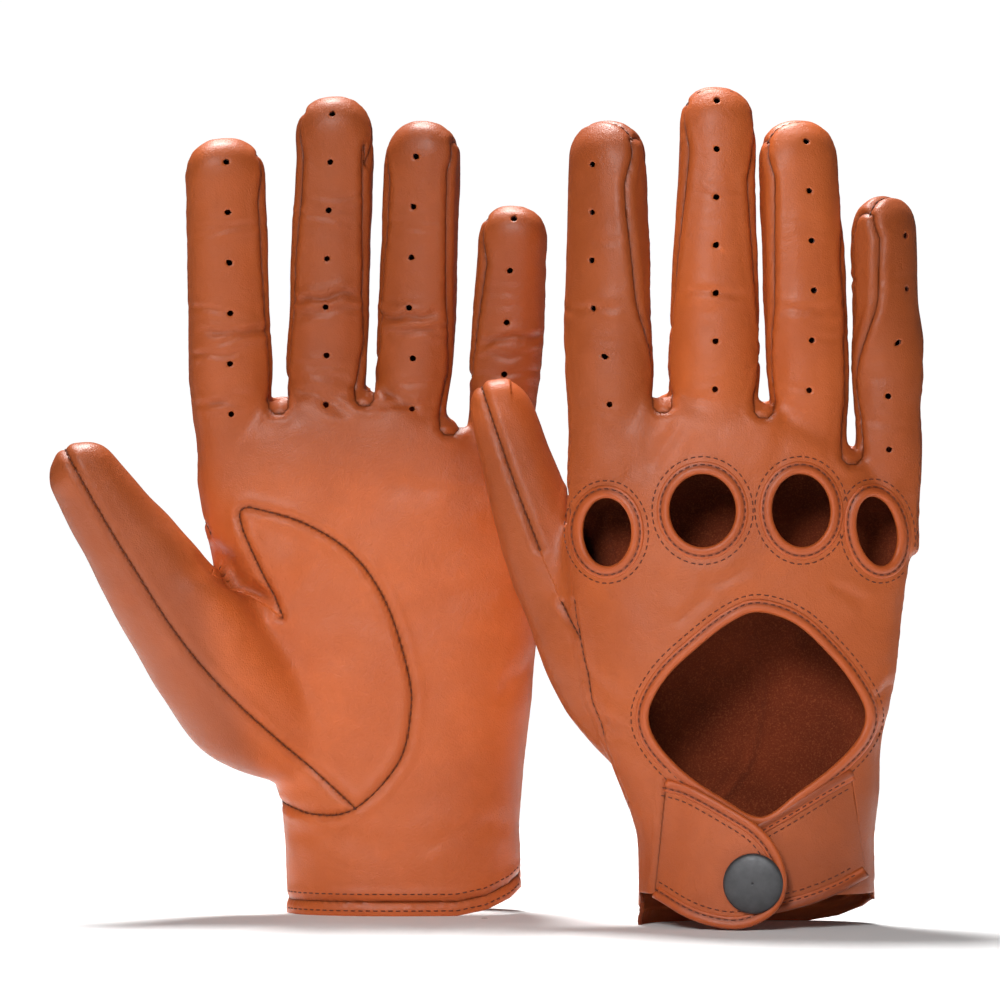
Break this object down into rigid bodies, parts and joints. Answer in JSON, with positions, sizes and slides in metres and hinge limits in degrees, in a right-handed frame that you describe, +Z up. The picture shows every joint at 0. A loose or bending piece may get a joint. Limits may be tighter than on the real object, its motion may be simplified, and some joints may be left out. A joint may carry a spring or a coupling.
{
  "type": "pair of leather driving gloves",
  "caption": "Unlined leather driving gloves with punched fingers, knuckle holes, an open back and a wrist strap closed by a snap, standing on their cuffs.",
  "frame": {"origin": "on the surface the gloves stand on, under the middle of the pair", "axes": "+Z up towards the fingertips, +X from the left glove to the right one, -Y towards the viewer: the right glove's back and the left glove's palm face -Y"},
  "size_m": [0.2464, 0.1112, 0.234],
  "materials": {
    "glove_leather": "semi-gloss nappa, suede inside",
    "bound_edge": "semi-gloss nappa, folded",
    "snap_metal": "dark gunmetal"
  },
  "bodies": {
    "left_glove": {"left_fourchette_index_middle": "glove_leather", "left_fourchette_middle_ring": "glove_leather", "left_fourchette_ring_little": "glove_leather", "left_thumb_outer_panel": "glove_leather", "left_thumb_inner_panel": "glove_leather", "left_palm_panel": "glove_leather", "left_cuff_binding": "bound_edge", "left_opening_binding": "bound_edge", "left_back_panel": "glove_leather", "left_knuckle_binding_index": "bound_edge", "left_knuckle_binding_middle": "bound_edge", "left_knuckle_binding_ring": "bound_edge", "left_knuckle_binding_little": "bound_edge"},
    "left_strap": {"left_strap_panel": "glove_leather", "left_strap_binding": "bound_edge", "left_snap_cap": "snap_metal", "left_snap_socket": "snap_metal"},
    "left_underlap": {"left_underlap_panel": "glove_leather", "left_underlap_binding": "bound_edge", "left_snap_stud": "snap_metal", "left_snap_post": "snap_metal"},
    "right_glove": {"right_fourchette_index_middle": "glove_leather", "right_fourchette_middle_ring": "glove_leather", "right_fourchette_ring_little": "glove_leather", "right_thumb_outer_panel": "glove_leather", "right_thumb_inner_panel": "glove_leather", "right_palm_panel": "glove_leather", "right_cuff_binding": "bound_edge", "right_opening_binding": "bound_edge", "right_back_panel": "glove_leather", "right_knuckle_binding_index": "bound_edge", "right_knuckle_binding_middle": "bound_edge", "right_knuckle_binding_ring": "bound_edge", "right_knuckle_binding_little": "bound_edge"},
    "right_strap": {"right_strap_panel": "glove_leather", "right_strap_binding": "bound_edge", "right_snap_cap": "snap_metal", "right_snap_socket": "snap_metal"},
    "right_underlap": {"right_underlap_panel": "glove_leather", "right_underlap_binding": "bound_edge", "right_snap_stud": "snap_metal", "right_snap_post": "snap_metal"}
  },
  "joints": [
    {"name": "right_glove_slide", "type": "slide", "parent": "left_glove", "child": "right_glove", "axis": [1, 0, 0], "range_m": [0, 0.06]},
    {"name": "left_strap_hinge", "type": "hinge", "parent": "left_glove", "child": "left_strap", "pos_m": [-0.0517, 0.04093, 0.009], "axis": [0.1013, 0.1086, 0.9889], "range_deg": [0, 110]},
    {"name": "left_underlap_hinge", "type": "hinge", "parent": "left_glove", "child": "left_underlap", "pos_m": [0.0076, 0.03787, 0.0146], "axis": [0.1494, -0.1576, -0.9761], "range_deg": [0, 30]},
    {"name": "right_strap_hinge", "type": "hinge", "parent": "right_glove", "child": "right_strap", "pos_m": [0.0475, -0.0405, 0.009], "axis": [-0.101, 0.1387, -0.9852], "range_deg": [0, 110]},
    {"name": "right_underlap_hinge", "type": "hinge", "parent": "right_glove", "child": "right_underlap", "pos_m": [0.1068, -0.03825, 0.0146], "axis": [-0.1498, -0.1416, 0.9785], "range_deg": [0, 30]}
  ],
  "couplings": [
    {"joint": "left_underlap_hinge", "follows": "left_strap_hinge", "ratio": 0.25},
    {"joint": "right_underlap_hinge", "follows": "right_strap_hinge", "ratio": 0.25}
  ]
}
